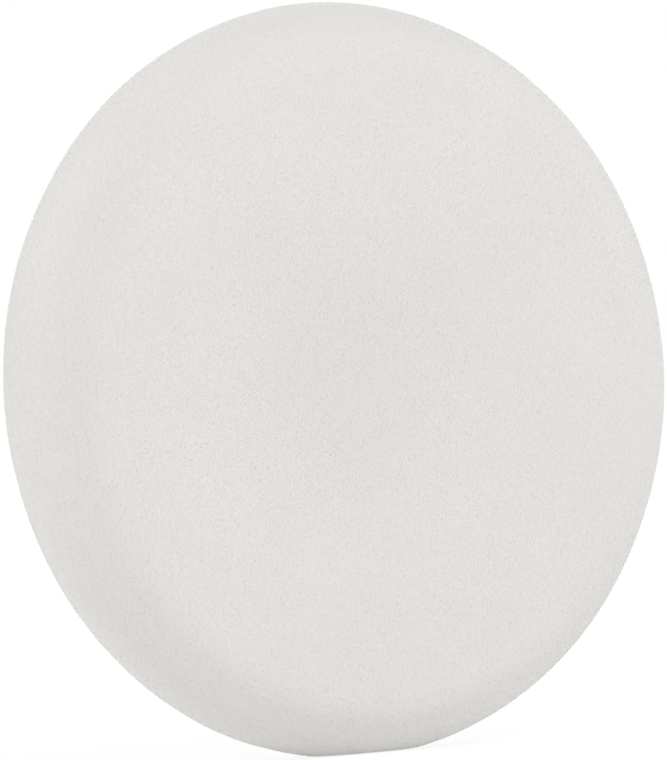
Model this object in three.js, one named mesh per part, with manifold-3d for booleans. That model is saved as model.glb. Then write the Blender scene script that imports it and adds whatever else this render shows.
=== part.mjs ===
// Round powder puff: a velour face that wraps the rim, a satin back, a soft filling between them,
// an edge seam sewn with two threads, a hand-sewn closing stitch and a finger ribbon on the back.
// Millimetres, +Z up. The puff stands on its rim, its face looks along -Y and its back along +Y.

import * as THREE from 'three';
import { mergeVertices } from 'three/addons/utils/BufferGeometryUtils.js';
import Module from 'manifold-3d';

const wasm = await Module();
wasm.setup();

// Pad
const RIM_RADIUS = 40; // outside of the rim
const RIM_ROUNDING = 7.2; // radius of the rounded rim, half of the pad's thickness
const CROWN_LAND = 2.8; // level ring between the rounding of the rim and the hollow
const FACE_HOLLOW = 2; // depth of the hollow in the face
const BACK_HOLLOW = 0.5; // depth of the hollow in the back
const FOOT_FLAT = 0.5; // depth of the flat that the rim stands on

// Cloth and filling
const VELOUR_THICKNESS = 1.6; // ground cloth and pile
const VELOUR_FOLD = 0.8; // velour pressed thin where it turns in
const SATIN_THICKNESS = 0.45;
const WADDING_DEPTH = 3.4; // soft layer at the level ring of the face
const FILL_GAP = 0.3; // between filling and cloth

// Edge seam
const SEAM_ANGLE = 60; // degrees behind the widest part of the rim
const SEAM_ALLOWANCE = 4.6; // depth that the cloth turns in
const CLOTH_GAP = 0.15; // between the turned-in layers
const THREAD_DIAMETER = 0.3;
const THREAD_GAP = 0.15; // between thread and cloth
const STITCH_LENGTH = 4;
const STITCH_LEG = 0.6; // between the two legs of a stitch in its hole, at the surface
const STITCH_LOOP = 0.5; // the same at the loop where the threads meet
const LOOP_GAP = 0.2; // between the loops of the two threads

// Closing stitch
const CLOSING_LENGTH = 24; // length of the seam that is shut by hand
const CLOSING_CENTRE = 60; // degrees from +X towards +Z
const CLOSING_PITCH = 4;
const CLOSING_REACH = 1.4; // how far from the seam the stitch goes through the cloth
const CLOSING_RISE = 0.35; // how far the stitch stands off the seam outside

// Finger ribbon
const RIBBON_WIDTH = 16;
const RIBBON_THICKNESS = 0.4;
const RIBBON_RISE = 9; // middle of the bow above the seam
const RIBBON_LIFT = 2.8; // reach of the curve along the way that the ribbon leaves the seam
const RIBBON_CROWN = 18; // reach of the curve along the level top of the bow
const RIBBON_TUCK = 0.4; // how far the ends stop short of the raw edges

// Facets
const ROUND_SEGMENTS = 48;
const ARC_STEPS_PER_TURN = 18;
const HOLLOW_STEPS = 3;
const THREAD_SIDES = 4;
const CLOSING_STEPS_PER_TURN = 8;
const RIBBON_STEPS = 12; // along each half of the bow
const RIBBON_STRIPS = 4; // across the width

const VELOUR_COLOUR = 0xe2e1dd;
const SATIN_COLOUR = 0xe6e3dc;
const RIBBON_COLOUR = 0xeae8e2;
const FOAM_COLOUR = 0xe9e4d2;
const WADDING_COLOUR = 0xf0efec;
const THREAD_COLOUR = 0xecebe6;

const roundingRadius = RIM_RADIUS - RIM_ROUNDING; // where the rounding of the rim begins
const hollowRadius = roundingRadius - CROWN_LAND;
const seamTurn = THREE.MathUtils.degToRad(SEAM_ANGLE);
const threadRadius = THREAD_DIAMETER / 2;

// Layers of the seam, counted from the middle of the ribbon's layer: velour below, satin above
const layerStart = RIBBON_THICKNESS / 2 + CLOTH_GAP;
const velourEnd = layerStart + VELOUR_FOLD;
const satinEnd = layerStart + SATIN_THICKNESS;
const needleLevel = velourEnd + THREAD_GAP + threadRadius;
const bobbinLevel = satinEnd + THREAD_GAP + threadRadius;
const loopLevel = (THREAD_DIAMETER + LOOP_GAP) / 2;
const stitchDepth = VELOUR_THICKNESS + THREAD_GAP * 2 + THREAD_DIAMETER;

// A place near the seam in the half plane (radius, y): depth goes in from the rim's surface,
// and level goes from the velour side to the satin side.
function nearSeam(depth, level) {
  const out = new THREE.Vector2(Math.cos(seamTurn), Math.sin(seamTurn));
  const across = new THREE.Vector2(-Math.sin(seamTurn), Math.cos(seamTurn));
  return new THREE.Vector2(roundingRadius, 0)
    .addScaledVector(out, RIM_ROUNDING - depth)
    .addScaledVector(across, level);
}

// A place in the half plane turned about the puff's axis, from +X towards +Z
function turned(place, angle) {
  return new THREE.Vector3(place.x * Math.cos(angle), place.y, place.x * Math.sin(angle));
}

// An arc of the rim's rounding at a depth below the surface, with the angles in radians. It has a point at
// each even step of a turn, so one of them lies where the rim is widest.
function rimArc(depth, from, to) {
  const step = 2 * Math.PI / ARC_STEPS_PER_TURN;
  const [low, high] = [Math.min(from, to), Math.max(from, to)];
  const angles = [low];
  for (let k = Math.floor(low / step) + 1; k * step < high; k += 1) {
    angles.push(k * step);
  }
  angles.push(high);
  if (from > to) {
    angles.reverse();
  }
  const radius = RIM_ROUNDING - depth;
  return angles.map((angle) => new THREE.Vector2(
    roundingRadius + radius * Math.cos(angle),
    radius * Math.sin(angle),
  ));
}

// The angle on the rim's rounding, at a depth, that lies at a level beside the seam
function rimAngle(depth, level) {
  return seamTurn + Math.asin(level / (RIM_ROUNDING - depth));
}

// The hollow of the face or back from the axis outwards. Side is -1 for the face and 1 for the back.
function hollow(side, hollowDepth, below) {
  return Array.from({ length: HOLLOW_STEPS + 1 }, (_, i) => {
    const share = i / HOLLOW_STEPS;
    const sunk = hollowDepth * (1 + Math.cos(Math.PI * share)) / 2;
    return new THREE.Vector2(hollowRadius * share, side * (RIM_ROUNDING - below - sunk));
  });
}

function lathe(profile) {
  return new THREE.LatheGeometry(profile, ROUND_SEGMENTS);
}

// A closed tube of THREAD_SIDES sides along a row of points
function tube(points, radius) {
  const direction = (i) => {
    const next = points[Math.min(i + 1, points.length - 1)];
    return next.clone().sub(points[Math.max(i - 1, 0)]).normalize();
  };
  const positions = [];
  const index = [];
  let side = new THREE.Vector3(0, 1, 0);
  points.forEach((point, i) => {
    const along = direction(i);
    side = side.clone().addScaledVector(along, -side.dot(along)).normalize();
    const across = along.clone().cross(side);
    for (let k = 0; k < THREAD_SIDES; k += 1) {
      const angle = 2 * Math.PI * k / THREAD_SIDES;
      const corner = point.clone()
        .addScaledVector(side, radius * Math.cos(angle))
        .addScaledVector(across, radius * Math.sin(angle));
      positions.push(corner.x, corner.y, corner.z);
    }
  });
  for (let i = 0; i + 1 < points.length; i += 1) {
    for (let k = 0; k < THREAD_SIDES; k += 1) {
      const a = i * THREAD_SIDES + k;
      const b = i * THREAD_SIDES + (k + 1) % THREAD_SIDES;
      index.push(a, b, a + THREAD_SIDES, b, b + THREAD_SIDES, a + THREAD_SIDES);
    }
  }
  const last = (points.length - 1) * THREAD_SIDES;
  for (let k = 1; k + 1 < THREAD_SIDES; k += 1) {
    index.push(0, k + 1, k, last, last + k, last + k + 1);
  }
  const geometry = new THREE.BufferGeometry();
  geometry.setAttribute('position', new THREE.Float32BufferAttribute(positions, 3));
  geometry.setIndex(index);
  return geometry;
}

// A closed mesh as a solid for joining and cutting
function solid(geometry) {
  const bare = geometry.clone();
  bare.deleteAttribute('normal');
  bare.deleteAttribute('uv');
  const merged = mergeVertices(bare);
  const corners = merged.index.array;
  const triangles = [];
  for (let i = 0; i < corners.length; i += 3) {
    const [a, b, c] = corners.slice(i, i + 3);
    if (a !== b && b !== c && c !== a) {
      triangles.push(a, b, c);
    }
  }
  return new wasm.Manifold(new wasm.Mesh({
    numProp: 3,
    vertProperties: new Float32Array(merged.attributes.position.array),
    triVerts: new Uint32Array(triangles),
  }));
}

function geometryOf(shape) {
  const mesh = shape.getMesh();
  const geometry = new THREE.BufferGeometry();
  geometry.setAttribute('position', new THREE.BufferAttribute(mesh.vertProperties, 3));
  geometry.setIndex(new THREE.BufferAttribute(mesh.triVerts, 1));
  return geometry;
}

function cut(geometry, cutters) {
  return geometryOf(cutters.reduce((shape, cutter) => shape.subtract(cutter), solid(geometry)));
}

// Where the machine stitches pierce the seam, all round but for the stretch closed by hand
const stitchRadius = nearSeam(stitchDepth, 0).x;
const seamRadius = nearSeam(0, 0).x;
const closingAngle = CLOSING_LENGTH / seamRadius;
const closingStart = THREE.MathUtils.degToRad(CLOSING_CENTRE) - closingAngle / 2;
const sewnAngle = 2 * Math.PI - closingAngle;
const stitchCount = Math.floor(sewnAngle * stitchRadius / STITCH_LENGTH);
const stitchAngles = Array.from(
  { length: stitchCount },
  (_, i) => closingStart + closingAngle + sewnAngle * (i + 1 / 2) / stitchCount,
);

// One thread of the machine seam: along the cloth, and down into each hole to meet the other thread
function seamThread(level, loop) {
  const points = [];
  for (const angle of stitchAngles) {
    for (const [offset, height] of [
      [-STITCH_LEG / 2, level],
      [-STITCH_LOOP / 2, loop],
      [STITCH_LOOP / 2, loop],
      [STITCH_LEG / 2, level],
    ]) {
      points.push(turned(nearSeam(stitchDepth, height), angle + offset / stitchRadius));
    }
  }
  return tube(points, threadRadius);
}

// The needle holes through the turned-in layers, as one set of small blocks
function needleHoles() {
  const length = STITCH_LEG + THREAD_DIAMETER + THREAD_GAP * 2;
  const width = THREAD_DIAMETER + THREAD_GAP * 2;
  const height = needleLevel + bobbinLevel;
  return stitchAngles.map((angle) => {
    const block = new THREE.BoxGeometry(width, height, length);
    block.translate(0, (bobbinLevel - needleLevel) / 2, 0);
    block.rotateZ(seamTurn);
    const middle = nearSeam(stitchDepth, 0);
    block.translate(middle.x, middle.y, 0);
    block.rotateY(-angle);
    return solid(block);
  }).reduce((all, hole) => all.add(hole));
}

// The closing stitch goes over the seam outside and through both edges inside, turn after turn
function closingTube(radius) {
  const turns = Math.round(CLOSING_LENGTH / CLOSING_PITCH);
  const steps = turns * CLOSING_STEPS_PER_TURN;
  const points = Array.from({ length: steps + 1 }, (_, i) => {
    const phase = 2 * Math.PI * i / CLOSING_STEPS_PER_TURN;
    const inwards = Math.cos(phase);
    const depth = inwards > 0 ? CLOSING_REACH * inwards : CLOSING_RISE * inwards;
    const place = nearSeam(depth, CLOSING_REACH * Math.sin(phase));
    return turned(place, closingStart + closingAngle * i / steps);
  });
  return tube(points, radius);
}

// Half of the ribbon's line in the half plane, from the middle of the bow to the end in the seam
function ribbonLine() {
  const start = nearSeam(0, 0);
  const lift = nearSeam(-RIBBON_LIFT, 0);
  const top = start.y + RIBBON_RISE;
  const bow = new THREE.CubicBezierCurve(
    new THREE.Vector2(0, top),
    new THREE.Vector2(RIBBON_CROWN, top),
    lift,
    start,
  );
  return [...bow.getPoints(RIBBON_STEPS), nearSeam(SEAM_ALLOWANCE - RIBBON_TUCK, 0)];
}

// The ribbon as a closed strip. Near the seam it follows the round edge, and in the bow it is straight.
function ribbon() {
  const half = ribbonLine();
  const line = [
    ...half.slice(1).reverse().map((p) => new THREE.Vector2(-p.x, p.y)),
    ...half,
  ];
  const positions = [];
  line.forEach((point, i) => {
    const next = line[Math.min(i + 1, line.length - 1)];
    const last = line[Math.max(i - 1, 0)];
    const along = next.clone().sub(last).normalize();
    const across = new THREE.Vector2(-along.y, along.x);
    for (const side of [1, -1]) {
      const place = point.clone().addScaledVector(across, side * RIBBON_THICKNESS / 2);
      const reach = Math.abs(place.x);
      const bend = THREE.MathUtils.smoothstep(reach, RIBBON_WIDTH / 2, roundingRadius);
      for (let k = 0; k <= RIBBON_STRIPS; k += 1) {
        const z = RIBBON_WIDTH * (k / RIBBON_STRIPS - 1 / 2);
        const x = Math.sign(place.x) * Math.sqrt(reach * reach - bend * z * z);
        positions.push(x, place.y, z);
      }
    }
  });
  const row = RIBBON_STRIPS + 1;
  const ring = [
    ...Array.from({ length: row }, (_, k) => k),
    ...Array.from({ length: row }, (_, k) => 2 * row - 1 - k),
  ];
  const index = [];
  const quad = (a, b, c, d) => index.push(a, b, c, a, c, d);
  for (let i = 0; i + 1 < line.length; i += 1) {
    ring.forEach((k, n) => {
      const after = ring[(n + 1) % ring.length];
      quad(i * 2 * row + k, i * 2 * row + after, (i + 1) * 2 * row + after, (i + 1) * 2 * row + k);
    });
  }
  const lastRow = (line.length - 1) * 2 * row;
  for (let k = 0; k < RIBBON_STRIPS; k += 1) {
    quad(k, row + k, row + k + 1, k + 1);
    quad(lastRow + k, lastRow + k + 1, lastRow + row + k + 1, lastRow + row + k);
  }
  const geometry = new THREE.BufferGeometry();
  geometry.setAttribute('position', new THREE.Float32BufferAttribute(positions, 3));
  geometry.setIndex(index);
  return geometry;
}

// The velour from the middle of the face round the rim to the seam, in along the seam, and back inside
function velourCover() {
  return lathe([
    ...hollow(-1, FACE_HOLLOW, 0),
    ...rimArc(0, -Math.PI / 2, rimAngle(0, -layerStart)),
    nearSeam(SEAM_ALLOWANCE, -layerStart),
    nearSeam(SEAM_ALLOWANCE, -velourEnd),
    ...rimArc(VELOUR_THICKNESS, rimAngle(VELOUR_THICKNESS, -velourEnd), -Math.PI / 2),
    ...hollow(-1, FACE_HOLLOW, VELOUR_THICKNESS).reverse(),
  ]);
}

// The satin from the middle of the back inside to the seam, in along the seam, and back outside
function satinBack() {
  return lathe([
    ...hollow(1, BACK_HOLLOW, SATIN_THICKNESS),
    ...rimArc(SATIN_THICKNESS, Math.PI / 2, rimAngle(SATIN_THICKNESS, satinEnd)),
    nearSeam(SEAM_ALLOWANCE, satinEnd),
    nearSeam(SEAM_ALLOWANCE, layerStart),
    ...rimArc(0, rimAngle(0, layerStart), Math.PI / 2),
    ...hollow(1, BACK_HOLLOW, 0).reverse(),
  ]);
}

const fillDepth = VELOUR_THICKNESS + FILL_GAP; // filling below the velour's surface
const backFillDepth = SATIN_THICKNESS + FILL_GAP; // filling below the satin's surface
const layerLevel = RIM_ROUNDING - fillDepth - WADDING_DEPTH; // where wadding and foam meet

// The angle on the rim's rounding, below the velour, at a distance in front of the rim's widest part
function frontAngle(distance) {
  return -Math.asin(distance / (RIM_ROUNDING - fillDepth));
}

function frontWadding() {
  const back = layerLevel + FILL_GAP / 2;
  return lathe([
    ...hollow(-1, FACE_HOLLOW, fillDepth),
    ...rimArc(fillDepth, -Math.PI / 2, frontAngle(back)),
    new THREE.Vector2(0, -back),
  ]);
}

// The sponge disc, with a groove round it for the turned-in edges and their threads
function foamCore() {
  const front = layerLevel - FILL_GAP / 2;
  const grooveDepth = SEAM_ALLOWANCE + FILL_GAP;
  const velourSide = -(needleLevel + threadRadius + FILL_GAP);
  const satinSide = bobbinLevel + threadRadius + FILL_GAP;
  return lathe([
    new THREE.Vector2(0, -front),
    ...rimArc(fillDepth, frontAngle(front), rimAngle(fillDepth, velourSide)),
    nearSeam(grooveDepth, velourSide),
    nearSeam(grooveDepth, satinSide),
    ...rimArc(backFillDepth, rimAngle(backFillDepth, satinSide), Math.PI / 2),
    ...hollow(1, BACK_HOLLOW, backFillDepth).reverse(),
  ]);
}

// Everything under the puff, which leaves the rim flat where it stands
function ground() {
  const side = RIM_RADIUS * 2;
  const block = new THREE.BoxGeometry(side, side, side);
  block.translate(0, 0, FOOT_FLAT - RIM_RADIUS - side / 2);
  return solid(block);
}

function piece(name, geometry, color, roughness) {
  const material = new THREE.MeshStandardMaterial({ color, roughness, metalness: 0 });
  const mesh = new THREE.Mesh(geometry, material);
  mesh.name = name;
  return mesh;
}

const holes = needleHoles();
const closingHoles = solid(closingTube(threadRadius + THREAD_GAP));

const puff = new THREE.Group();
puff.position.z = RIM_RADIUS - FOOT_FLAT;
puff.add(
  piece('velour_cover', cut(velourCover(), [ground(), holes, closingHoles]), VELOUR_COLOUR, 1),
  piece('satin_back', cut(satinBack(), [holes, closingHoles]), SATIN_COLOUR, 0.45),
  piece('foam_core', foamCore(), FOAM_COLOUR, 0.95),
  piece('front_wadding', frontWadding(), WADDING_COLOUR, 1),
  piece('finger_ribbon', cut(ribbon(), [holes]), RIBBON_COLOUR, 0.4),
  piece('needle_thread', seamThread(-needleLevel, -loopLevel), THREAD_COLOUR, 0.7),
  piece('bobbin_thread', seamThread(bobbinLevel, loopLevel), THREAD_COLOUR, 0.7),
  piece('closing_thread', closingTube(threadRadius), THREAD_COLOUR, 0.7),
);

export default puff;
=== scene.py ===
"""Powder puff: velour face and rim, satin back, finger ribbon and stitches, on a plain white stage."""

import math

import bpy
import numpy as np
from mathutils import Matrix, Vector, noise


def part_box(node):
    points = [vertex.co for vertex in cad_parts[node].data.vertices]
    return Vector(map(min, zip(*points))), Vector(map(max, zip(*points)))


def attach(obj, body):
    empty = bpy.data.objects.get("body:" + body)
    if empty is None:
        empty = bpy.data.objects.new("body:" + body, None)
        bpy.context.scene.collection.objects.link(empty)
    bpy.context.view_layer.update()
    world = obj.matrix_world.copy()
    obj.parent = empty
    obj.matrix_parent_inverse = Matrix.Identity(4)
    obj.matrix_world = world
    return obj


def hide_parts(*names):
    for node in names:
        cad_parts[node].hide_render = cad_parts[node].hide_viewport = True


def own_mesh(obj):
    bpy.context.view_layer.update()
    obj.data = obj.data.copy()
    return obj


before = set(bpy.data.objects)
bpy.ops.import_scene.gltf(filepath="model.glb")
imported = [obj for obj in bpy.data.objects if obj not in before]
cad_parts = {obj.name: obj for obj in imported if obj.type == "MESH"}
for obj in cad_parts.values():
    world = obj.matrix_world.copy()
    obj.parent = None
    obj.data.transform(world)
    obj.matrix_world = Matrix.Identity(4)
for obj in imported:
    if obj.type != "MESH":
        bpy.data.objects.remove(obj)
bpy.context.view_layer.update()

MM = 0.001
WHITE = (1, 1, 1, 1)

# Seeds of the uneven shapes
SEED = 7
LUMP_SEED = SEED
TUFT_SEED = SEED + 1
CLOTH_SEED = SEED + 5
RIBBON_SEED = SEED + 9

# Pad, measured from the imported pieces
VELOUR_LOW, VELOUR_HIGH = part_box("velour_cover")
RIM_RADIUS = (VELOUR_HIGH.x - VELOUR_LOW.x) / 2
ROUNDING = -VELOUR_LOW.y
CENTRE = Vector((0, 0, VELOUR_HIGH.z - RIM_RADIUS))
RIBBON_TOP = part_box("finger_ribbon")[1].y
CORE_RADIUS = RIM_RADIUS - ROUNDING
CROWN_LAND = 2.8 * MM
HOLLOW_RADIUS = CORE_RADIUS - CROWN_LAND
FACE_HOLLOW = 2.0 * MM
BACK_HOLLOW = 0.5 * MM
FLOOR_GAP = 0.05 * MM

# Seam, with the ribbon's ends and the closing stitch in it
SEAM_TURN = math.radians(60)
SEAM_EASE = 0.03 * MM
SEAM_SPREAD = 0.14 * MM
SEAM_ALLOWANCE = 4.6 * MM
SEAM_BLEND = 2 * MM
RIBBON_WIDTH = 16 * MM
RIBBON_PRINT = 0.2 * MM
RIBBON_PRINT_RUN = 8 * MM
CLOSING_LENGTH = 24 * MM
CLOSING_CENTRE = math.radians(60)
CLOSING_REACH = 1.4 * MM
CLOSING_HOLD = 4 * MM

# Photo's camera
CAMERA_TURN = math.radians(32.06)
CAMERA_ROLL = math.radians(3.57)
CAMERA_DISTANCE = 800 * MM
CAMERA_LENS = 358.2
CAMERA_LEFT = 0.77 * MM
CAMERA_UP = -0.01 * MM
CAMERA_CLIP_START = 0.01
CAMERA_CLIP_END = 20


def make_camera():
    """The photo's view: level with the puff's middle, to the left of its face, slightly rolled."""
    back = Vector((-math.sin(CAMERA_TURN), -math.cos(CAMERA_TURN), 0))
    level = Vector((math.cos(CAMERA_TURN), -math.sin(CAMERA_TURN), 0))
    up = Vector((0, 0, 1))
    right = level * math.cos(CAMERA_ROLL) - up * math.sin(CAMERA_ROLL)
    above = level * math.sin(CAMERA_ROLL) + up * math.cos(CAMERA_ROLL)
    data = bpy.data.cameras.new("photo_camera")
    data.lens = CAMERA_LENS
    data.clip_start = CAMERA_CLIP_START
    data.clip_end = CAMERA_CLIP_END
    camera = bpy.data.objects.new("photo_camera", data)
    place = CENTRE + back * CAMERA_DISTANCE - right * CAMERA_LEFT + above * CAMERA_UP
    turn = Matrix((right, above, back)).transposed()
    camera.matrix_world = Matrix.Translation(place) @ turn.to_4x4()
    bpy.context.scene.collection.objects.link(camera)
    bpy.context.scene.camera = camera


make_camera()

# Light and stage, in metres and watts
WORLD_LIGHT = 0.69
WORLD_WHITE = 1.0
FLOOR_SIZE = 6.0
FLOOR_GREY = 0.9
FLOOR_GLOW = 0.78
FLOOR_GLOW_FAR = 1.0
FLOOR_GLOW_STRENGTH = 1.055
FLOOR_LIFT = 0.33
SHADOW_NEAR = 0.12
SHADOW_FAR = 0.5
LIGHT_SIZE = 0.7
AREA_LIGHTS = (
    # name, place, watts
    ("top_front_light", (-0.05, -0.75, 0.75), 3.15),
    ("right_light", (0.85, -0.5, 0.35), 0.95),
    ("left_back_light", (-0.9, 0.45, 0.4), 2.7),
    ("right_back_light", (0.7, 0.8, 0.5), 2.2),
)


class Nodes:
    """Short hand for building a node tree."""

    def __init__(self, tree):
        self.tree = tree

    def add(self, kind, inputs=None, **settings):
        """A new node with its settings, and with a value or a link on each named input."""
        node = self.tree.nodes.new(kind)
        for key, value in settings.items():
            setattr(node, key, value)
        for key, value in (inputs or {}).items():
            self.put(node.inputs[key], value)
        return node

    def put(self, socket, value):
        """Links another node's output to a socket, or sets the socket's own value."""
        if isinstance(value, bpy.types.NodeSocket):
            self.tree.links.new(value, socket)
        else:
            socket.default_value = value


def background_ray(n):
    """1 for the rays that show the background: the camera's, mirrored ones and those through glass."""
    path = n.add("ShaderNodeLightPath")
    seen = path.outputs["Is Camera Ray"]
    for kind in ("Is Glossy Ray", "Is Transmission Ray"):
        seen = n.add("ShaderNodeMath", {0: seen, 1: path.outputs[kind]}, operation="MAXIMUM").outputs[0]
    return seen


def make_world():
    """White as background, a level grey as light."""
    world = bpy.data.worlds.new("white_room")
    world.use_nodes = True
    world.node_tree.nodes.clear()
    n = Nodes(world.node_tree)
    strength = n.add("ShaderNodeMix", {"Factor": background_ray(n), "A": WORLD_LIGHT, "B": WORLD_WHITE})
    glow = n.add("ShaderNodeBackground", {"Color": WHITE, "Strength": strength.outputs["Result"]})
    n.add("ShaderNodeOutputWorld", {"Surface": glow.outputs[0]})
    bpy.context.scene.world = world


def make_lights():
    """Round soft lights that face the puff."""
    for name, place, watts in AREA_LIGHTS:
        data = bpy.data.lights.new(name, "AREA")
        data.shape = "DISK"
        data.size = LIGHT_SIZE
        data.energy = watts
        light = bpy.data.objects.new(name, data)
        light.location = place
        light.rotation_mode = "QUATERNION"
        light.rotation_quaternion = (CENTRE - Vector(place)).to_track_quat("-Z", "Y")
        bpy.context.scene.collection.objects.link(light)


def floor_material():
    """Matt and glowing at once: the glow hides the shadow from the camera, more so far from the puff."""
    material = bpy.data.materials.new("floor_white")
    material.use_nodes = True
    material.node_tree.nodes.clear()
    n = Nodes(material.node_tree)
    matt = n.add("ShaderNodeBsdfDiffuse", {"Color": (FLOOR_GREY, FLOOR_GREY, FLOOR_GREY, 1)})
    glow = n.add("ShaderNodeEmission", {"Color": WHITE, "Strength": FLOOR_GLOW_STRENGTH})
    place = n.add("ShaderNodeTexCoord")
    away = n.add("ShaderNodeVectorMath", {0: place.outputs["Object"]}, operation="LENGTH")
    shown = n.add(
        "ShaderNodeMapRange",
        {
            "Value": away.outputs["Value"],
            "From Min": SHADOW_NEAR,
            "From Max": SHADOW_FAR,
            "To Min": FLOOR_GLOW,
            "To Max": FLOOR_GLOW_FAR,
        },
        interpolation_type="SMOOTHSTEP",
    )
    share = n.add("ShaderNodeMix", {"Factor": background_ray(n), "A": FLOOR_LIFT, "B": shown.outputs[0]})
    mixed = n.add(
        "ShaderNodeMixShader", {0: share.outputs["Result"], 1: matt.outputs[0], 2: glow.outputs[0]}
    )
    n.add("ShaderNodeOutputMaterial", {"Surface": mixed.outputs[0]})
    return material


def make_floor():
    """A pale floor that the camera sees as white but for the shadow near the puff."""
    half = FLOOR_SIZE / 2
    corners = [(-half, -half, 0), (half, -half, 0), (half, half, 0), (-half, half, 0)]
    mesh = bpy.data.meshes.new("floor")
    mesh.from_pydata(corners, [], [(0, 1, 2, 3)])
    mesh.materials.append(floor_material())
    floor = bpy.data.objects.new("floor", mesh)
    bpy.context.scene.collection.objects.link(floor)


make_world()
make_lights()
make_floor()
bpy.context.scene.view_settings.view_transform = "Standard"

# Materials: noise scales are per metre
TINT_RANGE = (0.3, 0.7)

VELOUR_COLOUR = (0.76, 0.75, 0.72)
VELOUR_ROUGHNESS = 1.0
VELOUR_SPECULAR = 0.1
VELOUR_CLOUD = 0.98
VELOUR_CLOUD_SCALE = 90
SHEEN = 0.4
SHEEN_ROUGHNESS = 0.45
STREAK_SHADE = 0.965
STREAK_SCALE = 4600
STREAK_DETAIL = 3.0
STREAK_STRETCH = (1.0, 1.0, 0.4)
STREAK_DEPTH = 0.1 * MM
STREAK_STRENGTH = 0.35
# Painted shade: the velour and its fibres are coloured darker round a spot a little off the hollow's middle,
# for the shade in the hollow
HOLLOW_SHADE_LEFT = 4 * MM
HOLLOW_SHADE_PLACE = CENTRE + Vector((-HOLLOW_SHADE_LEFT, 0, 0))
HOLLOW_SHADE_RADIUS = 23 * MM
PAINTED_HOLLOW_SHADE = 0.96
PILE_SHADES = (0.945, 0.97, 0.995, 1.02)
PILE_SPECULAR = 0.05

WOVEN_SPECULAR = 0.4
WOVEN_SHEEN = 0.15
WOVEN_SHEEN_ROUGHNESS = 0.4
WOVEN_ANISOTROPY = 0.3
WOVEN_CLOUD_SCALE = 120
FLOAT_SHADE = 0.94
FLOAT_SCALE = 1000
FLOAT_SMOOTHER = 0.06
FLOAT_ROUGHER = 0.08
FLOAT_DEPTH = 0.05 * MM
FLOAT_STRENGTH = 0.5

PLAIN_SPECULAR = 0.2
PLAIN_SMOOTHER = 0.1
PLAIN_DETAIL = 4.0
PLAIN_STRENGTH = 0.6


def new_material(name):
    material = bpy.data.materials.new(name)
    material.use_nodes = True
    return material, Nodes(material.node_tree), material.node_tree.nodes["Principled BSDF"]


def finish_of(shader, roughness, specular, sheen=0.0, sheen_roughness=0.5, anisotropy=0.0):
    """Finish values that stay constant over the cloth."""
    shader.inputs["Roughness"].default_value = roughness
    shader.inputs["Specular IOR Level"].default_value = specular
    shader.inputs["Sheen Weight"].default_value = sheen
    shader.inputs["Sheen Roughness"].default_value = sheen_roughness
    shader.inputs["Anisotropic"].default_value = anisotropy


def stretched(n, scale=(1, 1, 1)):
    """Object coordinates stretched by a scale on each axis."""
    place = n.add("ShaderNodeTexCoord")
    return n.add(
        "ShaderNodeVectorMath", {0: place.outputs["Object"], 1: scale}, operation="MULTIPLY"
    ).outputs[0]


def grain(n, vector, scale, detail=2.0):
    """Smooth random values from 0 to 1."""
    return n.add(
        "ShaderNodeTexNoise", {"Vector": vector, "Scale": scale, "Detail": detail}
    ).outputs["Fac"]


def tint(n, factor, low, high):
    """Two colours mixed by a factor that runs about its middle."""
    least, most = TINT_RANGE
    ramp = n.add("ShaderNodeMapRange", {"Value": factor, "From Min": least, "From Max": most})
    mix = n.add(
        "ShaderNodeMix", {"Factor": ramp.outputs[0], "A": (*low, 1), "B": (*high, 1)}, data_type="RGBA"
    )
    return mix.outputs["Result"]


def times(n, one, other):
    """The product of two colours."""
    mix = n.add(
        "ShaderNodeMix", {"Factor": 1.0, "A": one, "B": other}, data_type="RGBA", blend_type="MULTIPLY"
    )
    return mix.outputs["Result"]


def uneven_roughness(n, shader, factor, low, high):
    ramp = n.add("ShaderNodeMapRange", {"Value": factor, "To Min": low, "To Max": high})
    n.put(shader.inputs["Roughness"], ramp.outputs[0])


def bump(n, shader, height, distance, strength):
    made = n.add("ShaderNodeBump", {"Height": height, "Distance": distance, "Strength": strength})
    n.put(shader.inputs["Normal"], made.outputs[0])


def shaded(colour, share):
    return tuple(c * share for c in colour)


def painted_hollow_shade(n):
    """Painted shade: the colour grows a little darker towards the middle of the hollow."""
    place = n.add("ShaderNodeTexCoord")
    away = n.add(
        "ShaderNodeVectorMath",
        {0: place.outputs["Object"], 1: tuple(HOLLOW_SHADE_PLACE)},
        operation="SUBTRACT",
    )
    level = n.add("ShaderNodeVectorMath", {0: away.outputs[0], 1: (1, 0, 1)}, operation="MULTIPLY")
    radius = n.add("ShaderNodeVectorMath", {0: level.outputs[0]}, operation="LENGTH")
    shade = n.add(
        "ShaderNodeMapRange",
        {
            "Value": radius.outputs["Value"],
            "From Min": 0.0,
            "From Max": HOLLOW_SHADE_RADIUS,
            "To Min": PAINTED_HOLLOW_SHADE,
            "To Max": 1.0,
        },
        interpolation_type="SMOOTHSTEP",
    )
    return shade.outputs[0]


def velour_material():
    """Short pile: fine upright streaks over slow cloudy changes, matt, soft sheen at grazing angles, and
    painted shade in the hollow's middle.
    """
    material, n, shader = new_material("velour")
    finish_of(shader, VELOUR_ROUGHNESS, VELOUR_SPECULAR, sheen=SHEEN, sheen_roughness=SHEEN_ROUGHNESS)
    cloud = grain(n, stretched(n), VELOUR_CLOUD_SCALE)
    streak = grain(n, stretched(n, STREAK_STRETCH), STREAK_SCALE, STREAK_DETAIL)
    shade = tint(n, streak, (STREAK_SHADE,) * 3, (1.0,) * 3)
    colour = tint(n, cloud, shaded(VELOUR_COLOUR, VELOUR_CLOUD), VELOUR_COLOUR)
    # The colour is multiplied by the painted shade of the hollow
    n.put(shader.inputs["Base Color"], times(n, times(n, colour, shade), painted_hollow_shade(n)))
    bump(n, shader, streak, STREAK_DEPTH, STREAK_STRENGTH)
    return material


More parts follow.
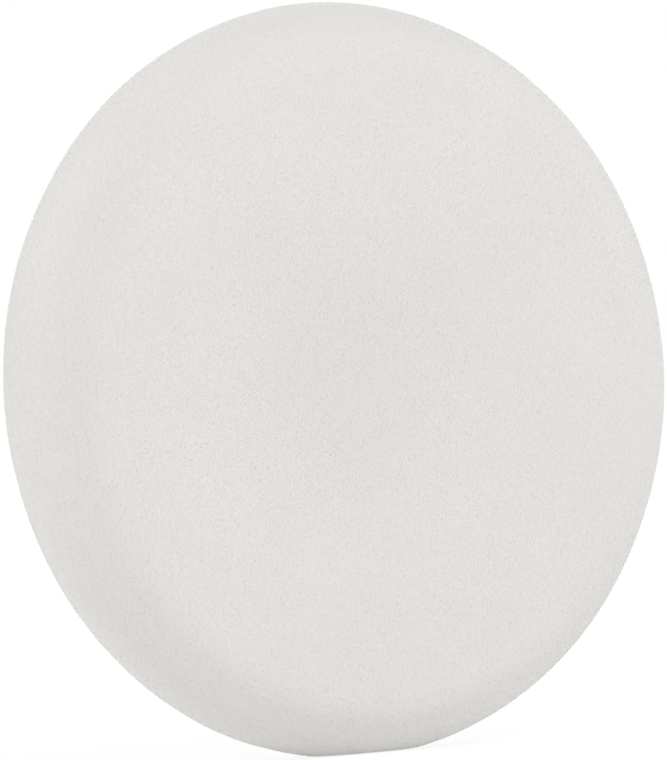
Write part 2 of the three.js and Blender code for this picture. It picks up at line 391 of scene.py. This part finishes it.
def pile_materials():
    """One plain material for each shade of the fibres."""
    made = []
    for k, share in enumerate(PILE_SHADES):
        material, _, shader = new_material(f"velour_pile_{k + 1}")
        finish_of(shader, VELOUR_ROUGHNESS, PILE_SPECULAR, sheen=SHEEN, sheen_roughness=SHEEN_ROUGHNESS)
        shader.inputs["Base Color"].default_value = (*shaded(VELOUR_COLOUR, share), 1)
        made.append(material)
    return made


def woven_material(name, low, high, roughness, yarn):
    """Satin weave: fine floats along one way with small slubs, and a soft shine."""
    material, n, shader = new_material(name)
    finish_of(
        shader,
        roughness,
        WOVEN_SPECULAR,
        sheen=WOVEN_SHEEN,
        sheen_roughness=WOVEN_SHEEN_ROUGHNESS,
        anisotropy=WOVEN_ANISOTROPY,
    )
    floats = grain(n, stretched(n, yarn), FLOAT_SCALE)
    cloud = grain(n, stretched(n), WOVEN_CLOUD_SCALE)
    shade = tint(n, floats, (FLOAT_SHADE,) * 3, (1.0,) * 3)
    n.put(shader.inputs["Base Color"], times(n, tint(n, cloud, low, high), shade))
    uneven_roughness(n, shader, floats, roughness - FLOAT_SMOOTHER, roughness + FLOAT_ROUGHER)
    bump(n, shader, floats, FLOAT_DEPTH, FLOAT_STRENGTH)
    return material


def plain_cloth(name, low, high, scale, depth, roughness=0.95):
    """A grainy material for the filling and threads."""
    material, n, shader = new_material(name)
    finish_of(shader, roughness, PLAIN_SPECULAR)
    cells = grain(n, stretched(n), scale, PLAIN_DETAIL)
    n.put(shader.inputs["Base Color"], tint(n, cells, low, high))
    uneven_roughness(n, shader, cells, roughness - PLAIN_SMOOTHER, roughness)
    bump(n, shader, cells, depth, PLAIN_STRENGTH)
    return material


VELOUR = velour_material()
PILE_TINTS = pile_materials()
SATIN = woven_material(
    "satin",
    low=(0.74, 0.72, 0.67),
    high=(0.79, 0.775, 0.73),
    roughness=0.42,
    yarn=(0.35, 1, 3.2),
)
RIBBON = woven_material(
    "ribbon",
    low=(0.77, 0.76, 0.72),
    high=(0.82, 0.81, 0.775),
    roughness=0.36,
    yarn=(0.3, 0.3, 4.0),
)
THREAD = plain_cloth(
    "thread",
    low=(0.75, 0.74, 0.70),
    high=(0.84, 0.83, 0.79),
    scale=4000,
    depth=0.03 * MM,
    roughness=0.7,
)
FOAM = plain_cloth(
    "foam",
    low=(0.70, 0.65, 0.51),
    high=(0.80, 0.76, 0.63),
    scale=1400,
    depth=0.3 * MM,
)
WADDING = plain_cloth(
    "wadding",
    low=(0.78, 0.77, 0.75),
    high=(0.88, 0.87, 0.85),
    scale=900,
    depth=0.3 * MM,
)

# Geometry helpers
CLOUD_SHIFT = (3.1, 1.7, 2.3)


def new_mesh(name, points, faces):
    """A smooth object from an array of points and a list of faces."""
    mesh = bpy.data.meshes.new(name)
    mesh.from_pydata(points.tolist(), [], faces)
    mesh.validate()
    mesh.shade_smooth()
    made = bpy.data.objects.new(name, mesh)
    bpy.context.scene.collection.objects.link(made)
    return made


def place_piece(made, materials, slot, *nodes):
    """Puts a piece on the pad, with its materials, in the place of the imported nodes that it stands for."""
    for material in materials:
        made.data.materials.append(material)
    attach(made, "pad")
    if nodes:
        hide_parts(*nodes)


def unit(vectors):
    return vectors / np.linalg.norm(vectors, axis=-1, keepdims=True)


def smooth_step(value, low, high):
    share = np.clip((value - low) / (high - low), 0, 1)
    return share * share * (3 - 2 * share)


def clouds(points, size, seed):
    """Smooth random heights between about -1 and 1."""
    shift = Vector([seed * s for s in CLOUD_SHIFT])
    return np.array([noise.noise(Vector(p) / size + shift) for p in points])


def steps_along(line):
    """The length of each step of a line."""
    return np.linalg.norm(np.diff(line, axis=0), axis=1)


def run_along(line):
    """How far along a line each of its points lies."""
    return np.concatenate([[0], np.cumsum(steps_along(line))])


def index_grid(rows, columns):
    """The row and the column of each place in a grid."""
    return (g.ravel() for g in np.meshgrid(np.arange(rows), np.arange(columns), indexing="ij"))


def ring_quads(rings, count):
    """Faces between closed rings of count points each, one ring after the other."""
    i, k = index_grid(rings - 1, count)
    after = (k + 1) % count
    this = i * count
    following = this + count
    return np.stack([this + k, this + after, following + after, following + k], -1).tolist()


def joined(parts):
    """The points and faces of several parts as one."""
    points = []
    faces = []
    count = 0
    for more_points, more_faces in parts:
        points.append(more_points)
        faces += [[corner + count for corner in face] for face in more_faces]
        count += len(more_points)
    return np.concatenate(points), faces


def disc_grid(cells):
    """A square grid spread evenly over a unit disc: reach and angle of each point, and the quads."""
    line = np.linspace(-1, 1, cells + 1)
    a, b = (g.ravel() for g in np.meshgrid(line, line, indexing="ij"))
    wide = np.abs(a) > np.abs(b)
    main = np.where(wide, a, b)
    ratio = np.where(wide, b, a) / np.where(main == 0, 1, main)
    angle = np.where(wide, math.pi / 4 * ratio, math.pi / 2 - math.pi / 4 * ratio)
    angle = np.where(main < 0, angle + math.pi, angle)
    row = cells + 1
    i, j = index_grid(cells, cells)
    corner = i * row + j
    quads = np.stack([corner, corner + row, corner + row + 1, corner + 1], -1)
    return np.abs(main), angle, quads


def finer(field, cells, factor):
    """Values on a disc grid of cells, read between its points on a grid with factor times as many."""
    grid = field.reshape(cells + 1, cells + 1, -1)
    for axis in (0, 1):
        spots = np.linspace(0, cells, cells * factor + 1)
        low = np.minimum(spots.astype(int), cells - 1)
        share = (spots - low).reshape((-1, 1, 1) if axis == 0 else (1, -1, 1))
        grid = np.take(grid, low, axis) * (1 - share) + np.take(grid, low + 1, axis) * share
    return grid.reshape(-1, grid.shape[2])


def round_axis(radius, height, angle):
    """Places or directions turned round the pad's axis."""
    return np.stack([radius * np.cos(angle), height, radius * np.sin(angle)], -1)


def near_seam(depth, level=0.0):
    """A place (radius, y) by the seam: depth below the rim, level along the rim towards the satin."""
    turn = SEAM_TURN + level / ROUNDING
    return Vector((CORE_RADIUS, 0)) + Vector((math.cos(turn), math.sin(turn))) * (ROUNDING - depth)


def stand(points):
    """Lifts what would reach below the floor, so that the rim stands on a flat."""
    points[:, 2] = np.maximum(points[:, 2], FLOOR_GAP)
    return points


class Panel:
    """One round panel of the cover, from its middle round the rim and in along the seam.

    The side is -1 for the velour's face and 1 for the satin's. Each point lies along the cloth at its
    distance from the middle.
    """

    def __init__(self, cells, side, sunk, fold):
        reach, angle, self.quads = disc_grid(cells)
        self.cells = cells
        self.angle = angle
        turned = math.pi / 2 - side * SEAM_TURN - (SEAM_EASE + fold) / ROUNDING
        self.arc_end = CORE_RADIUS + ROUNDING * turned
        self.fold_end = self.arc_end + fold * math.pi / 2
        self.length = self.fold_end + SEAM_ALLOWANCE
        self.along = along = reach * self.length

        # Hollow, raised ring and the rim's arc
        share = np.clip(along / HOLLOW_RADIUS, 0, 1)
        level = ROUNDING - sunk * (1 + np.cos(math.pi * share)) / 2
        slope = -sunk * math.pi / 2 / HOLLOW_RADIUS * np.sin(math.pi * share)
        turn = np.clip((along - CORE_RADIUS) / ROUNDING, 0, turned)
        radius = np.minimum(along, CORE_RADIUS) + ROUNDING * np.sin(turn)
        height = level - ROUNDING * (1 - np.cos(turn))
        facing = np.stack([np.sin(turn) + slope, np.cos(turn)], -1)

        # Edge, folded in at the seam and pushed aside by the ribbon's ends
        out = np.array([math.sin(turned), math.cos(turned)])
        ahead = np.array([math.cos(turned), -math.sin(turned)])
        bent = np.clip((along - self.arc_end) / fold, 0, math.pi / 2)[:, None]
        inside = np.clip(along - self.fold_end, 0, None)[:, None]
        shift = fold * (out * (np.cos(bent) - 1) + ahead * np.sin(bent)) - inside * out
        shift = shift - ahead * self.spread()[:, None]
        folded = out * np.cos(bent) + ahead * np.sin(bent)
        facing = unit(np.where(along[:, None] > self.arc_end, folded, facing))
        radius = radius + shift[:, 0]
        height = height + shift[:, 1]

        self.points = round_axis(radius, side * height, angle) + np.array(CENTRE)
        self.normals = round_axis(facing[:, 0], side * facing[:, 1], angle)
        self.faces = (self.quads[:, ::-1] if side > 0 else self.quads).tolist()

    def under_ribbon(self):
        """1 under the ribbon's ends, 0 beside them and in the middle."""
        nearby = np.abs(np.sin(self.angle)) * near_seam(0).x
        beside = smooth_step(nearby, RIBBON_WIDTH / 2, RIBBON_WIDTH / 2 + SEAM_BLEND)
        return (1 - beside) * smooth_step(self.along, CORE_RADIUS - RIBBON_PRINT_RUN, CORE_RADIUS)

    def sewn(self):
        """1 where the closing stitch holds the edge still, 0 away from it."""
        half = CLOSING_LENGTH / 2 / near_seam(0).x
        apart = np.abs((self.angle - CLOSING_CENTRE + math.pi) % (2 * math.pi) - math.pi)
        beyond = smooth_step(apart, half, half + CLOSING_HOLD / near_seam(0).x)
        return (1 - beyond) * smooth_step(
            self.along, self.arc_end - CLOSING_HOLD, self.arc_end - CLOSING_REACH
        )

    def spread(self):
        """How far the ribbon's ends push the seam open."""
        at_seam = smooth_step(self.along, self.arc_end - SEAM_BLEND, self.arc_end)
        return SEAM_SPREAD * self.under_ribbon() * at_seam


# Cloth that is eased into the seam, simulated at a larger scale
CLOTH_SCALE = 10.0
CLOTH_FRAMES = 16
CLOTH_MASS = 0.05
CLOTH_STIFFNESS = 60
CLOTH_SHEAR = 30
CLOTH_START = 0.04 * MM
CLOTH_START_SIZE = 4 * MM
CLOTH_SINK = 0.4 * MM


def weigh(made, name, weights):
    """A vertex group with the weights above 0."""
    group = made.vertex_groups.new(name=name)
    for index in np.flatnonzero(weights > 0):
        group.add([int(index)], float(weights[index]), "REPLACE")


def add_cloth(made, growth, bending, pressure):
    """Cloth that is still where it is held, and grows where it isn't firm."""
    cloth = made.modifiers.new("cloth", "CLOTH")
    cloth.settings.mass = CLOTH_MASS
    cloth.settings.tension_stiffness = CLOTH_STIFFNESS
    cloth.settings.compression_stiffness = CLOTH_STIFFNESS
    cloth.settings.shear_stiffness = CLOTH_SHEAR
    cloth.settings.bending_stiffness = bending
    cloth.settings.vertex_group_mass = "held"
    cloth.settings.shrink_min = -growth
    cloth.settings.shrink_max = 0
    cloth.settings.vertex_group_shrink = "firm"
    cloth.settings.use_pressure = True
    cloth.settings.uniform_pressure_force = pressure
    cloth.settings.effector_weights.gravity = 0
    cloth.collision_settings.use_collision = False
    cloth.point_cache.frame_start = 1
    cloth.point_cache.frame_end = CLOTH_FRAMES


def settle(panel, free, growth, bending, pressure, ceiling):
    """How far a panel moves that is cut too long for its place where it is free, from 0 to 1.

    The filling pushes from inside and stops what sinks onto it, and nothing rises past the ceiling.
    """
    uneven = CLOTH_START * clouds(panel.points, CLOTH_START_SIZE, CLOTH_SEED)
    start = panel.points + panel.normals * uneven[:, None]
    made = new_mesh("settling", start * CLOTH_SCALE, panel.faces)
    weigh(made, "held", np.where(free > 0, 0, 1))
    weigh(made, "firm", 1 - free)
    add_cloth(made, growth, bending, pressure)
    for step in range(1, CLOTH_FRAMES + 1):
        bpy.context.scene.frame_set(step)
    done = made.evaluated_get(bpy.context.evaluated_depsgraph_get())
    places = np.zeros(len(panel.points) * 3)
    done.data.vertices.foreach_get("co", places)
    bpy.context.scene.frame_set(1)
    mesh = made.data
    bpy.data.objects.remove(made)
    bpy.data.meshes.remove(mesh)
    moved = places.reshape(-1, 3) / CLOTH_SCALE - panel.points
    rise = np.sum(moved * panel.normals, 1, keepdims=True)
    allowed = np.clip(rise, -CLOTH_SINK, np.reshape(ceiling, (-1, 1)))
    return moved + panel.normals * (allowed - rise)


# Velour
VELOUR_SIDE = -1
PILE = 0.08 * MM
VELOUR_CELLS = 300
VELOUR_FINER = 2
VELOUR_FOLD = 0.5 * MM
VELOUR_EASED = 0.08
VELOUR_BENDING = 2.0
VELOUR_PRESSURE = 4.0
VELOUR_FREE_TURN = math.radians(124)
VELOUR_FREE = CORE_RADIUS + ROUNDING * VELOUR_FREE_TURN
CREASE_TURN = math.radians(37)
CREASE = CORE_RADIUS + ROUNDING * CREASE_TURN
CREASE_WIDTH = 1.2 * MM
CREASE_DEPTH = 0.1 * MM
LUMP = 0.1 * MM
LUMP_SIZE = 17 * MM
TUFT = 0.006 * MM
TUFT_SIZE = 0.5 * MM
TUFT_STRETCH = (1, 1, 0.5)


def make_velour():
    """The ground of the face and rim: lumpy, creased round its face and gathered behind the rim."""
    coarse = Panel(VELOUR_CELLS // VELOUR_FINER, VELOUR_SIDE, FACE_HOLLOW, VELOUR_FOLD)
    free = smooth_step(coarse.along, VELOUR_FREE, coarse.arc_end)
    free *= 1 - coarse.sewn()
    free[coarse.along > coarse.fold_end] = 0
    behind = np.clip((coarse.along - VELOUR_FREE) / ROUNDING, 0, 1)
    ceiling = ROUNDING * (1 / np.cos(behind) - 1)
    moved = settle(coarse, free, VELOUR_EASED, VELOUR_BENDING, VELOUR_PRESSURE, ceiling)
    panel = Panel(VELOUR_CELLS, VELOUR_SIDE, FACE_HOLLOW, VELOUR_FOLD)
    lumps = clouds(panel.points, LUMP_SIZE, LUMP_SEED)
    tufts = clouds(panel.points * np.array(TUFT_STRETCH), TUFT_SIZE, TUFT_SEED)
    crease = np.exp(-(((panel.along - CREASE) / CREASE_WIDTH) ** 2))
    height = -PILE + LUMP * lumps + TUFT * tufts - CREASE_DEPTH * crease
    gathers = finer(moved, coarse.cells, VELOUR_FINER)
    panel.points = stand(panel.points + gathers + panel.normals * height[:, None])
    made = new_mesh("velour_ground", panel.points, panel.faces)
    place_piece(made, [VELOUR], "velour", "velour_cover")
    return panel


# Velour's pile
PILE_VARIATION = 0.018
FIBRES = 198_000
FIBRE_LENGTH = 0.2 * MM
FIBRE_WIDTH = 0.085 * MM
FIBRE_SIZES = (0.7, 1.25)
FIBRE_ROOT = 0.05 * MM
FIBRE_RISE = 0.35
FIBRE_RISES = (0.6, 1.3)
FIBRE_SPREAD = 0.8
FIBRE_TILT = 0.2
NAP = (0, 0, -1.0)
# An even spread steps on by the powers of 1 / 1.3247
EVEN_STEPS = (0.7548776662, 0.5698402910)
EVEN_JITTER = 0.5


def spread_roots(panel, rng):
    """Evenly spread places on the velour that shows, and the way up at each."""
    shown = panel.quads[panel.along[panel.quads].max(1) < panel.fold_end]
    a, b, c, d = (panel.points[shown[:, k]] for k in range(4))
    area = np.linalg.norm(np.cross(c - a, d - b), axis=1)
    count = np.arange(FIBRES)
    pick = np.searchsorted(np.cumsum(area) / area.sum(), (count + rng.random(FIBRES)) / (FIBRES + 1))
    u, v = (((count * s + EVEN_JITTER * rng.random(FIBRES)) % 1)[:, None] for s in EVEN_STEPS)
    root = (1 - v) * ((1 - u) * a[pick] + u * b[pick]) + v * ((1 - u) * d[pick] + u * c[pick])
    return root, panel.normals[shown[pick, 0]]


def shade_fibres(made, root, rng):
    """Gives each fibre one of the shades: random tone, and painted shade that makes the fibres darker in the
    middle of the face's hollow.
    """
    radius = np.hypot(root[:, 0] - HOLLOW_SHADE_PLACE.x, root[:, 2] - HOLLOW_SHADE_PLACE.z)
    # Painted shade: fibres near the hollow's middle on the face take darker shades; all fibres also get
    # random tone
    shade = PAINTED_HOLLOW_SHADE + (1 - PAINTED_HOLLOW_SHADE) * smooth_step(radius, 0, HOLLOW_SHADE_RADIUS)
    shade = np.where(root[:, 1] < 0, shade, 1.0) + PILE_VARIATION * rng.normal(size=FIBRES)
    nearest = np.abs(shade[:, None] - np.array(PILE_SHADES)).argmin(1)
    made.data.polygons.foreach_set("material_index", nearest)


def make_pile(panel):
    """Short fibres that lean along the nap, in a few shades."""
    rng = np.random.default_rng(SEED)
    root, up = spread_roots(panel, rng)
    nap = np.array(NAP) + FIBRE_SPREAD * rng.normal(size=(FIBRES, 3))
    nap = unit(nap - up * np.sum(nap * up, 1, keepdims=True))
    lean = unit(nap + up * FIBRE_RISE * rng.uniform(*FIBRE_RISES, (FIBRES, 1)))
    size = rng.uniform(*FIBRE_SIZES, (FIBRES, 1))
    tip = root + lean * FIBRE_LENGTH * size
    half = unit(np.cross(lean, up)) * FIBRE_WIDTH * size / 2
    root = root - up * FIBRE_ROOT
    corners = stand(np.stack([root - half, root + half, tip], 1).reshape(-1, 3))
    made = new_mesh("velour_pile", corners, np.arange(3 * FIBRES).reshape(-1, 3).tolist())
    place_piece(made, PILE_TINTS, "velour")
    shade_fibres(made, root, rng)
    facing = unit(up + FIBRE_TILT * rng.normal(size=(FIBRES, 3)))
    made.data.normals_split_custom_set_from_vertices(np.repeat(facing, 3, axis=0))


make_pile(make_velour())

# Satin back
SATIN_SIDE = 1
SATIN_CELLS = 110
SATIN_FINER = 2
SATIN_FOLD = 0.25 * MM
SATIN_EASED = 0.035
SATIN_BENDING = 0.5
SATIN_PRESSURE = 8.0
SATIN_CEILING = 0.5 * MM
SATIN_RING = 9 * MM


def make_satin():
    """The back panel: a flat disc of satin, longer round its edge than the seam, so that it puckers."""
    coarse = Panel(SATIN_CELLS, SATIN_SIDE, BACK_HOLLOW, SATIN_FOLD)
    free = smooth_step(coarse.along, coarse.arc_end - SATIN_RING, coarse.arc_end)
    free *= (1 - coarse.under_ribbon()) * (1 - coarse.sewn())
    free[coarse.along > coarse.fold_end] = 0
    moved = settle(coarse, free, SATIN_EASED, SATIN_BENDING, SATIN_PRESSURE, SATIN_CEILING)
    panel = Panel(SATIN_CELLS * SATIN_FINER, SATIN_SIDE, BACK_HOLLOW, SATIN_FOLD)
    points = panel.points + finer(moved, coarse.cells, SATIN_FINER)
    points -= panel.normals * (RIBBON_PRINT * panel.under_ribbon())[:, None]
    made = new_mesh("satin_panel", points, panel.faces)
    place_piece(made, [SATIN], "satin", "satin_back")


make_satin()

# Finger ribbon
RIBBON_BODY = 0.22 * MM
RIBBON_THICKNESS = 0.4 * MM
RIBBON_LIFT = 2.8 * MM
RIBBON_CROWN = 18 * MM
RIBBON_TUCK = 4.2 * MM
RIBBON_STEPS = 180
TUCK_STEPS = 8
RIBBON_STRIPS = 48
RIBBON_ROWS = RIBBON_WIDTH * (np.linspace(0, 1, RIBBON_STRIPS + 1) - 0.5)
SELVEDGE = 0.7 * MM
SELVEDGE_BODY = 0.34 * MM
SELVEDGE_POWER = 4
SELVEDGE_ROUNDS = 3
SELVEDGE_THINNING = 0.8
RIBBON_WAVE = 0.25 * MM
RIBBON_WAVE_SIZE = 14 * MM
RIBBON_CURL = 0.3 * MM
RIBBON_GATHER = 0.14 * MM
RIBBON_GATHER_SIZE = 4.2 * MM
RIBBON_GATHER_RUN = 6 * MM


def bow_line():
    """The ribbon's line (x, y) from one seam to the other."""
    start = near_seam(0)
    lift = near_seam(-RIBBON_LIFT)
    top = RIBBON_TOP - RIBBON_THICKNESS / 2
    arms = np.array([(0, top), (RIBBON_CROWN, top), lift, start])
    t = np.linspace(0, 1, RIBBON_STEPS // 2 + 1)[:, None]
    half = (
        arms[0] * (1 - t) ** 3
        + arms[1] * 3 * (1 - t) ** 2 * t
        + arms[2] * 3 * (1 - t) * t**2
        + arms[3] * t**3
    )
    return np.concatenate([half[:0:-1] * (-1, 1), half])


def tuck_line(side):
    """The end of the ribbon in the seam, on the side of -X or +X."""
    depths = np.linspace(0, RIBBON_TUCK, TUCK_STEPS + 1)
    return np.array([near_seam(d) for d in depths]) * (side, 1)


def ribbon_thickness():
    """The thickness of each row of the ribbon: swollen at the woven edges, rounded off at the very rim."""
    rim = np.clip((RIBBON_WIDTH / 2 - np.abs(RIBBON_ROWS)) / SELVEDGE, 0, 1)
    thick = RIBBON_BODY + (SELVEDGE_BODY - RIBBON_BODY) * (1 - rim**SELVEDGE_POWER)
    outer = (1 - np.clip(rim * SELVEDGE_ROUNDS, 0, 1)) ** 2
    return thick * np.sqrt(1 - outer * SELVEDGE_THINNING)


def band(line, wave):
    """Points and faces of a strip of ribbon along a line: two faces, swollen edges, closed ends."""
    ahead = np.gradient(line, axis=0)
    across = unit(np.stack([-ahead[:, 1], ahead[:, 0]], -1))
    thick = ribbon_thickness()
    sheets = []
    for side in (1, -1):
        place = line[:, None] + across[:, None] * (side * thick[:, None] / 2 + wave[..., None])
        reach = np.abs(place[..., 0])
        bend = smooth_step(reach, RIBBON_WIDTH / 2, CORE_RADIUS)
        x = np.sign(place[..., 0]) * np.sqrt(np.maximum(reach**2 - bend * RIBBON_ROWS**2, 0))
        z = np.broadcast_to(CENTRE.z + RIBBON_ROWS, x.shape)
        sheets.append(np.stack([x, place[..., 1], z], -1))
    ring = np.concatenate([sheets[0], sheets[1][:, ::-1]], 1)
    rings, count = ring.shape[:2]
    faces = ring_quads(rings, count)
    last = (rings - 1) * count
    for s in range(RIBBON_STRIPS):
        faces.append([s, s + 1, count - 2 - s, count - 1 - s])
    for s in range(RIBBON_STRIPS):
        faces.append([last + count - 1 - s, last + count - 2 - s, last + s + 1, last + s])
    return ring.reshape(-1, 3), faces


def ribbon_wave(line):
    """How far each point of the bow lies off its line: soft waves, a curl, and gathers by the seam."""
    spots = np.array([(x, s, 0.0) for x in line[:, 0] for s in RIBBON_ROWS])
    run = run_along(line)
    free = np.sin(math.pi * run / run[-1])[:, None]
    from_end = np.minimum(run, run[-1] - run)[:, None] / RIBBON_GATHER_RUN
    soft = RIBBON_WAVE * clouds(spots, RIBBON_WAVE_SIZE, RIBBON_SEED).reshape(len(line), -1)
    curl = RIBBON_CURL * (1 / 3 - (2 * RIBBON_ROWS / RIBBON_WIDTH) ** 2)
    gather = RIBBON_GATHER * np.cos(2 * math.pi * RIBBON_ROWS / RIBBON_GATHER_SIZE)
    return free * (soft + curl) + gather * math.e * from_end * np.exp(-from_end)


def make_ribbon():
    """The bow and its two ends in the seam."""
    line = bow_line()
    made = new_mesh("ribbon_bow", *band(line, ribbon_wave(line)))
    place_piece(made, [RIBBON], "ribbon", "finger_ribbon")
    still = np.zeros((TUCK_STEPS + 1, RIBBON_STRIPS + 1))
    tucks = new_mesh("ribbon_ends", *joined([band(tuck_line(side), still) for side in (-1, 1)]))
    place_piece(tucks, [RIBBON], "ribbon")
    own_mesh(made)


make_ribbon()

# Closing stitch
CLOSING_TURNS = 6
CLOSING_RISE = 0.11 * MM
PLY_RADIUS = 0.085 * MM
PLY_OFFSET = 0.07 * MM
PLY_TWIST = 1.1 * MM
PLY_SIDES = 8
STITCH_STEPS = 40
TUBE_START = (0.3, 0.5, 0.8)


def stitch_line():
    """The hand stitch: over the seam outside and through both edges inside, turn after turn."""
    steps = CLOSING_TURNS * STITCH_STEPS
    span = CLOSING_LENGTH / near_seam(0).x
    points = []
    for k in range(steps + 1):
        phase = 2 * math.pi * k / STITCH_STEPS
        inwards = math.cos(phase)
        depth = inwards * (CLOSING_REACH if inwards > 0 else CLOSING_RISE)
        radius, y = near_seam(depth, CLOSING_REACH * math.sin(phase))
        angle = CLOSING_CENTRE + span * (k / steps - 0.5)
        points.append((radius * math.cos(angle), y, CENTRE.z + radius * math.sin(angle)))
    return np.array(points)


def tube(line, radius, sides):
    """Points and faces of a closed tube along a line."""
    turn = 2 * math.pi * np.arange(sides)[:, None] / sides
    ahead = unit(np.gradient(line, axis=0))
    side = np.cross(ahead[0], TUBE_START)
    rings = []
    for point, along in zip(line, ahead):
        side = unit(side - along * np.dot(side, along))
        other = np.cross(along, side)
        rings.append(point + radius * (side * np.cos(turn) + other * np.sin(turn)))
    last = (len(line) - 1) * sides
    caps = [list(range(sides))[::-1], list(range(last, last + sides))]
    return np.concatenate(rings), ring_quads(len(line), sides) + caps


def make_closing_stitch():
    """Two plies twisted round each other along the stitch."""
    line = stitch_line()
    ahead = np.gradient(line, axis=0)
    one = unit(np.cross(ahead, (0.0, 1.0, 0.0)))
    other = unit(np.cross(ahead, one))
    plies = []
    for start in (0, math.pi):
        turn = (2 * math.pi * run_along(line) / PLY_TWIST + start)[:, None]
        path = line + PLY_OFFSET * (one * np.cos(turn) + other * np.sin(turn))
        plies.append(tube(path, PLY_RADIUS, PLY_SIDES))
    made = new_mesh("closing_stitch", *joined(plies))
    place_piece(made, [THREAD], "thread", "closing_thread")


make_closing_stitch()

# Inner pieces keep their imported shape
for node, material in (
    ("foam_core", FOAM),
    ("front_wadding", WADDING),
    ("needle_thread", THREAD),
    ("bobbin_thread", THREAD),
):
    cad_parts[node].data.materials.clear()
    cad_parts[node].data.materials.append(material)
